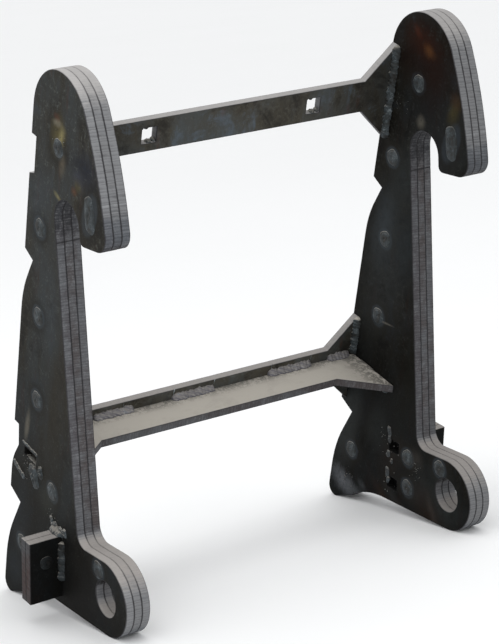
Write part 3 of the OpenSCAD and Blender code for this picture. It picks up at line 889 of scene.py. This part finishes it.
EDGES = {(side, layer): hook_edge(side, layer, *look) for side, layer, *look in (
    ("left", "outer", 2.0, 1.0, CUT_PURPLE), ("left", "middle", 5.0, 0.9, CUT_BROWN),
    ("left", "inner", 9.0, 0.95, CUT_BROWN), ("right", "inner", 12.0, 0.75, CUT_PURPLE),
    ("right", "middle", 15.0, 0.76, CUT_BROWN), ("right", "outer", 19.0, 0.76, CUT_BROWN))}
FACES = {
    ("left", "outer"): plate_face("mill_scale_left_outer", 1.3, LEFT_OUTER_MARKS, OUTER_PLUGS,
                                  blue=0.35, shade=1.02, low_shade=0.2),
    ("left", "inner"): plate_face("mill_scale_left_inner", 6.1, RIGHT_INNER_MARKS[:6], INNER_PLUGS,
                                  blue=0.4, shade=0.8, low_shade=0.6),
    ("right", "inner"): plate_face("mill_scale_right_inner", 3.7, RIGHT_INNER_MARKS, INNER_PLUGS,
                                   blue=0.4, shade=0.4, low_shade=0.6, sheen=0.02),
    ("right", "outer"): plate_face("mill_scale_right_outer", 8.9, LEFT_OUTER_MARKS[8:], OUTER_PLUGS,
                                   shade=1.0, low_shade=0.6),
}
INSIDE = plate_face("mill_scale_between", 4.4)
BAR_FACE = plate_face("mill_scale_bar", 12.2, blue=0.95, shade=1.8, painted_reflection=(INNER_X - 2, 90),
                      grain=0.1)
WEB_FACE = plate_face("mill_scale_web", 15.0, blue=0.2, shade=2.1, painted_reflection=(INNER_X - 2, 150),
                      grain=0.15)
SHELF_FACE = plate_face("mill_scale_shelf", 17.5, blue=0.2)
CALM_EDGE = cut_edge("flame_cut_edge_calm", 26.0, 0.8, 0.1, (), CUT_BROWN)
STOP_BROWN = (0.09, 0.05, 0.045)
STOP_FACE = plate_face("mill_scale_stop", 19.0, blue=0.3, shade=0.16)
STOP_EDGE = cut_edge("flame_cut_edge_stop", 21.0, 0.4, 0.2, (), STOP_BROWN, 0.95)
BEAD_BRIGHT = weld_metal("weld_bead_bright", 1.0, 0.9)
BEAD_DUSTY = weld_metal("weld_bead_dusty", 4.0, 0.45, 0.75)
PLUG_METAL = weld_metal("plug_weld", 8.0, 0.5)
TACK = weld_metal("tack_weld", 27.0, 0.4, shade=1.2, hollow=(0.034, 0.031, 0.03))
SLOT_WELD = weld_metal("slot_weld", 29.0, 0.35, 0.3)
STITCH = weld_metal("weld_bead_stitch", 24.0, 0.3, 0.3, 2.6, hollow=(0.038, 0.037, 0.042),
                    main=(0.05, 0.048, 0.054))
BEAD_STOP = weld_metal("weld_bead_stop", 11.0, 0.4, 0.5, 0.6)
STOP_PLUG = weld_metal("stop_plug_weld", 14.0, 0.15, 0.3, 0.35)


def build_hook_plates(side, outside):
    """A frame's three laminated hook plates, each with its visible broad face as its cap."""
    first = 5 if side == "left" else 60
    for k, layer in enumerate(("inner", "middle", "outer")):
        look = -outside if layer == "inner" else outside
        face = FACES.get((side, layer), INSIDE)
        cut_plate(f"{side}_{layer}_hook_plate", f"{side}_{layer}_plate", look, RISE,
                  [face, EDGES[side, layer]], front_nick, seed=11 * k + first)


def build_stop_plates(side, outside):
    """The pair of stop plates outside a frame."""
    for k, layer in enumerate(("front", "back")):
        cut_plate(f"{side}_stop_{layer}_cut_plate", f"{side}_stop_{layer}_plate", -REAR, RISE,
                  [STOP_FACE, STOP_EDGE], seed=90 + k)


both_sides(build_hook_plates)
both_sides(build_stop_plates)
cut_plate("upper_cross_bar_cut", "upper_cross_bar", -REAR, RISE, [BAR_FACE, CALM_EDGE],
          groove=0.06 * MM, seed=70)
cut_plate("lower_cross_web_cut", "lower_cross_web", -REAR, RISE, [WEB_FACE, CALM_EDGE],
          groove=0.04 * MM, seed=73)
cut_plate("lower_cross_shelf_cut", "lower_cross_shelf", RISE, -REAR, [SHELF_FACE, CALM_EDGE],
          groove=0.04 * MM, seed=76)


# ---- The welds ----

LEG = 8 * MM  # of the fillet beads


def build_welds(side, outside):
    """A frame's plug weld caps, and the beads at the ends of the bar, the web and the shelf."""
    x, seed = outside[0] * INNER_X, 100 if side == "left" else 200
    for layer, look, first in (("outer", outside, seed), ("inner", -outside, seed + 40)):
        node = f"{side}_{layer}_plug_welds"
        weld_piece(f"{side}_{layer}_plug_weld_caps", plug_caps(node, look, first), PLUG_METAL, node)
    ends = [("bar", (PLATE, 598), (PLATE, 740), -REAR, BEAD_BRIGHT),
            ("web", (PLATE, 244), (PLATE, 307), -REAR, BEAD_DUSTY),
            ("shelf", (20, 232), (106, 232), -RISE, BEAD_DUSTY)]
    for k, (part, low, high, floor, metal) in enumerate(ends):
        line = bead(drawn(x, *low), drawn(x, *high), -outside, floor, LEG, seed + 1 + k)
        weld_piece(f"{side}_{part}_weld_bead", [line], metal, f"{side}_{part}_weld")


both_sides(build_welds)

# The stop plates' lean, the top of their front corner, and their axes
STOP_LEAN = np.radians(8)
STOP_TOP = (145.3, 168.7)
STOP_FRONT = -REAR * np.cos(STOP_LEAN) + RISE * np.sin(STOP_LEAN)
STOP_RISE = RISE * np.cos(STOP_LEAN) + REAR * np.sin(STOP_LEAN)


def build_outer_welds(side, outside):
    """Beads and lumps round the stop plates and the tab ends, on the frame's outer face."""
    out = outside[0]
    x, seed = out * OUTER_X, 400 if side == "left" else 500

    def on(f, h, deep=0):
        """A place on the outer face, or that deep behind it."""
        return drawn(x - out * deep, f, h)

    corner = on(*STOP_TOP)
    upright = bead(corner - 68 * MM * STOP_RISE, corner - 8 * MM * STOP_RISE, outside, STOP_FRONT,
                   7 * MM, seed, 2.2 * MM, 0.2, 0.05 * MM)
    top = bead(corner - 26 * MM * STOP_FRONT, corner + 3 * MM * STOP_FRONT, outside, STOP_RISE,
               8 * MM, seed + 5, 3.6 * MM, 0.35, 0.7 * MM)
    spots = ((127, 169, 8, 2, 0), (141, 172, 7, 1, 0), (151, 176, 5, 2, 0.6))
    lumps = [dome(on(f, h), outside, RISE, r * MM, 2.4 * MM, seed + 9 + k, long * MM, lean, 0, 3)
             for k, (f, h, r, long, lean) in enumerate(spots)]
    spike = flat_bead(on(124, 166), on(113, 182), outside, 5 * MM, 2.4 * MM, seed + 12)
    weld_piece(f"{side}_stop_weld_beads", [upright], BEAD_STOP, f"{side}_stop_weld")
    weld_piece(f"{side}_stop_top_beads", [top, spike] + lumps, TACK)

    lip = flat_bead(on(26, 249), on(68, 249), outside, 4.4 * MM, 1.1 * MM, seed + 20, 3.1 * MM)
    fill = flat_bead(on(33, 229, 1.2), on(66, 231, 1.2), outside, 5 * MM, 1.0 * MM, seed + 30,
                     3 * MM, 10 * MM)
    run = flat_bead(on(5, 206), on(38, 194), outside, 8 * MM, 1.7 * MM, seed + 40, 3.4 * MM)
    patch = dome(on(62, 213), outside, RISE, 11 * MM, 2.4 * MM, seed + 50, 7 * MM, -0.5 * out,
                 0.1, 3.2)
    blob = dome(on(78, 228), outside, RISE, 6.5 * MM, 2.0 * MM, seed + 60, 3 * MM, 0.4, 0.0, 3.0)
    weld_piece(f"{side}_tab_weld_beads", [lip, fill, run, patch, blob], SLOT_WELD,
               f"{side}_tab_welds")

    middle = on(*STOP_TOP, -24) - 34 * MM * STOP_RISE
    plug = dome(middle, STOP_FRONT, STOP_RISE, 10 * MM, 1.2 * MM, seed + 70)
    weld_piece(f"{side}_stop_plug_weld", [plug], STOP_PLUG)


both_sides(build_outer_welds)


def stitch_welds():
    """A nearly flat bead for each stitch in the corner between the web and the shelf."""
    found = []
    for k, part in enumerate(separate_parts("shelf_stitch_welds")):
        low, high = part[:, 0].min() / MM, part[:, 0].max() / MM
        found.append(bead(drawn(low, PLATE, 244), drawn(high, PLATE, 244), -REAR, RISE, LEG,
                          300 + k, 2.6 * MM, 0.02, 0.07 * MM))
    return found


weld_piece("shelf_stitch_beads", stitch_welds(), STITCH, "shelf_stitch_welds")


# Set-out ticks on the web as (across, low end, high end)
TICKS = [(-135, 246, 258), (-52, 248, 262), (16, 250, 260), (115, 246, 263), (185, 249, 259)]


def chalk_ticks():
    """Thin pale set-out marks across the web's front: flat strips, standing 0.2 mm proud."""
    u = np.linspace(0, TAU, 6, endpoint=False)
    s = np.linspace(0, 1, 8)[:, None, None]
    thin = np.array([0.05, 0.8, 1, 0.7, 0.9, 1, 0.6, 0.05])[:, None, None] * MM
    ring = np.cos(u)[None, :, None] * ACROSS * 0.5 - np.sin(u)[None, :, None] * REAR * 0.25
    found = []
    for x, low, high in TICKS:
        middle = drawn(x, PLATE, low) * (1 - s) + drawn(x + 1.5, PLATE, high) * s
        found.append(closed_tube(middle + ring * thin))
    return found


# Lumps in a square hole as (across, forward, up, which way it hangs, radius, height, length)
SLAG = [(-3, 6, 680, -1, 3.4, 3.0, 1.5), (1, 7, 658, 1, 4.4, 3.2, 0.5),
        (9, 6, 659, 1, 2.6, 3.0, 2), (-10, 6, 679, -1, 2.4, 2.6, 2)]


def hole_slag():
    """Lumps of slag left on the top and bottom faces of the bar's flame-cut square holes."""
    return [dome(drawn(middle + x, f, h), way * RISE, -REAR, r * MM, tall * MM, 800 + 10 * j + k,
                 long * MM, 0, 0, 2)
            for k, middle in enumerate((-131, 131))
            for j, (x, f, h, way, r, tall, long) in enumerate(SLAG)]


weld_piece("square_hole_slag", hole_slag(), SLOT_WELD)
CHALK = weld_metal("chalk_mark", 31.0, 1.0, 0.5, 4.5)
weld_piece("set_out_chalk_ticks", chalk_ticks(), CHALK)

# Tacks by the stop tabs as (forward, up, radius, length, lean)
TACKS = [(121, 170, 4, 4, 0.4), (124, 158, 3.4, 3, 0.2), (126, 133, 4.4, 2, 0),
         (136, 126, 3.2, 1, 0), (130, 104, 4.2, 4, 0.1), (134, 92, 3.0, 3, 0)]
# Droplets as (forward, up, spread, count)
INNER_DROPS = [(192, 140, 8, 24), (124, 150, 13, 20), (132, 92, 12, 18), (40, 44, 9, 20),
               (36, 660, 10, 12)]
OUTER_DROPS = [(52, 218, 13, 30), (118, 176, 9, 16), (72, 712, 12, 12)]


def build_lumps(side, outside):
    """Ragged tack welds beside the stop tabs, and droplets on the frame's inner and outer faces."""
    x, look = outside[0] * INNER_X, -outside
    seed = 600 if side == "left" else 700
    tacks = [dome(drawn(x, f, h), look, RISE, r * MM, 1.5 * MM, seed + 3 * k, long * MM, lean, 0,
                  2.6) for k, (f, h, r, long, lean) in enumerate(TACKS)]
    weld_piece(f"{side}_inner_tack_welds", tacks, TACK)
    faces = [("inner", x, look, INNER_DROPS, seed + 40),
             ("outer", outside[0] * OUTER_X, outside, OUTER_DROPS, seed + 60)]
    for layer, level, way, drops, first in faces:
        spots = [(drawn(level, f, h), way, spread * MM, count) for f, h, spread, count in drops]
        weld_piece(f"{side}_{layer}_spatter", spatter(spots, first), PLUG_METAL)


both_sides(build_lumps)

# ---- Floor and light ----

def build_floor():
    """A flat square floor, 90 m across, level with the feet."""
    lines = 19
    along = np.linspace(-45, 45, lines)
    x, y = np.meshgrid(along, along, indexing="ij")
    points = np.stack([x, y, np.zeros_like(x)], -1).reshape(-1, 3)
    i, j = np.meshgrid(np.arange(lines - 1), np.arange(lines - 1), indexing="ij")
    a = (i * lines + j).ravel()
    quads = np.stack([a, a + lines, a + lines + 1, a + 1], 1)
    new_piece("floor", points, [quads], [floor_paint()])


def soft_light(name, place, target, size, power, color=(1, 1, 1)):
    """A round softbox at place, looking at target."""
    data = bpy.data.lights.new(name, "AREA")
    data.shape, data.size, data.energy, data.color = "DISK", size, power, color
    lamp = bpy.data.objects.new(name, data)
    lamp.location = place
    lamp.rotation_euler = (Vector(target) - Vector(place)).to_track_quat("-Z", "Y").to_euler()
    bpy.context.scene.collection.objects.link(lamp)


def build_sky():
    """An even, almost white studio sky."""
    world = bpy.data.worlds.new("studio")
    world.use_nodes = True
    world.node_tree.nodes["Background"].inputs[0].default_value = (0.98, 0.99, 1.0, 1)
    world.node_tree.nodes["Background"].inputs[1].default_value = 1.02
    bpy.context.scene.world = world


bpy.context.scene.view_settings.view_transform = "Standard"
build_floor()
build_sky()
soft_light("overhead_softbox", (-0.4, -0.3, 3.2), (0, 0, 0.3), 3.0, 26)
soft_light("front_fill", (-2.6, -2.2, 1.6), (0, 0, 0.35), 1.6, 7, (0.95, 0.98, 1))
